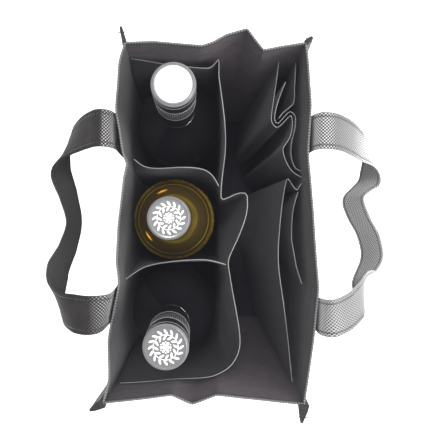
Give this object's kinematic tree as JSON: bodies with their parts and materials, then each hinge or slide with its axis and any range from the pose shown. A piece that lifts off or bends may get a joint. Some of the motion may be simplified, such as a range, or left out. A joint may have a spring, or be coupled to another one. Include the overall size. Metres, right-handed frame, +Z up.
{
  "type": "six-bottle tote bag",
  "caption": "Open black non-woven tote with sewn bottle pockets and twisted strap handles; capped wine bottles stand in its left row and its right row is empty.",
  "frame": {"origin": "centre of the underside of the bag's base panel", "axes": "+Z up; +Y towards the back end wall, along the bag's long side; +X towards the right-hand long wall, beside the empty row"},
  "size_m": [0.277, 0.2943, 0.3171],
  "materials": {
    "cloth": "matte non-woven with an embossed dot grid",
    "pocket_cloth": "matte non-woven",
    "strap_cloth": "matte non-woven with an embossed cross-hatch",
    "dark_glass": "gloss, nearly opaque",
    "amber_glass": "clear gloss",
    "wine": "clear",
    "black_cap": "satin black with a brushed silver-grey top",
    "silver_cap": "satin"
  },
  "bodies": {
    "root": {"wall_left": "cloth", "wall_front": "cloth", "wall_right": "cloth", "wall_back": "cloth", "base_panel": "cloth", "seam_back_left": "cloth", "seam_front_left": "cloth", "seam_front_right": "cloth", "seam_back_right": "cloth", "pocket_front_left_back": "pocket_cloth", "pocket_front_left_middle": "pocket_cloth", "pocket_front_left_front": "pocket_cloth", "divider_left_back": "pocket_cloth", "divider_left_front": "pocket_cloth", "pocket_front_right_back": "pocket_cloth", "divider_right_back": "pocket_cloth", "pocket_end_right_back": "pocket_cloth", "pocket_front_right_front": "pocket_cloth", "divider_right_front": "pocket_cloth", "handle_left": "strap_cloth", "handle_right": "strap_cloth", "bottle_back": "dark_glass", "bottle_middle": "amber_glass", "bottle_front": "dark_glass", "wine_middle": "wine", "cap_back": "black_cap", "cap_middle": "silver_cap", "cap_front": "black_cap"}
  },
  "joints": []
}
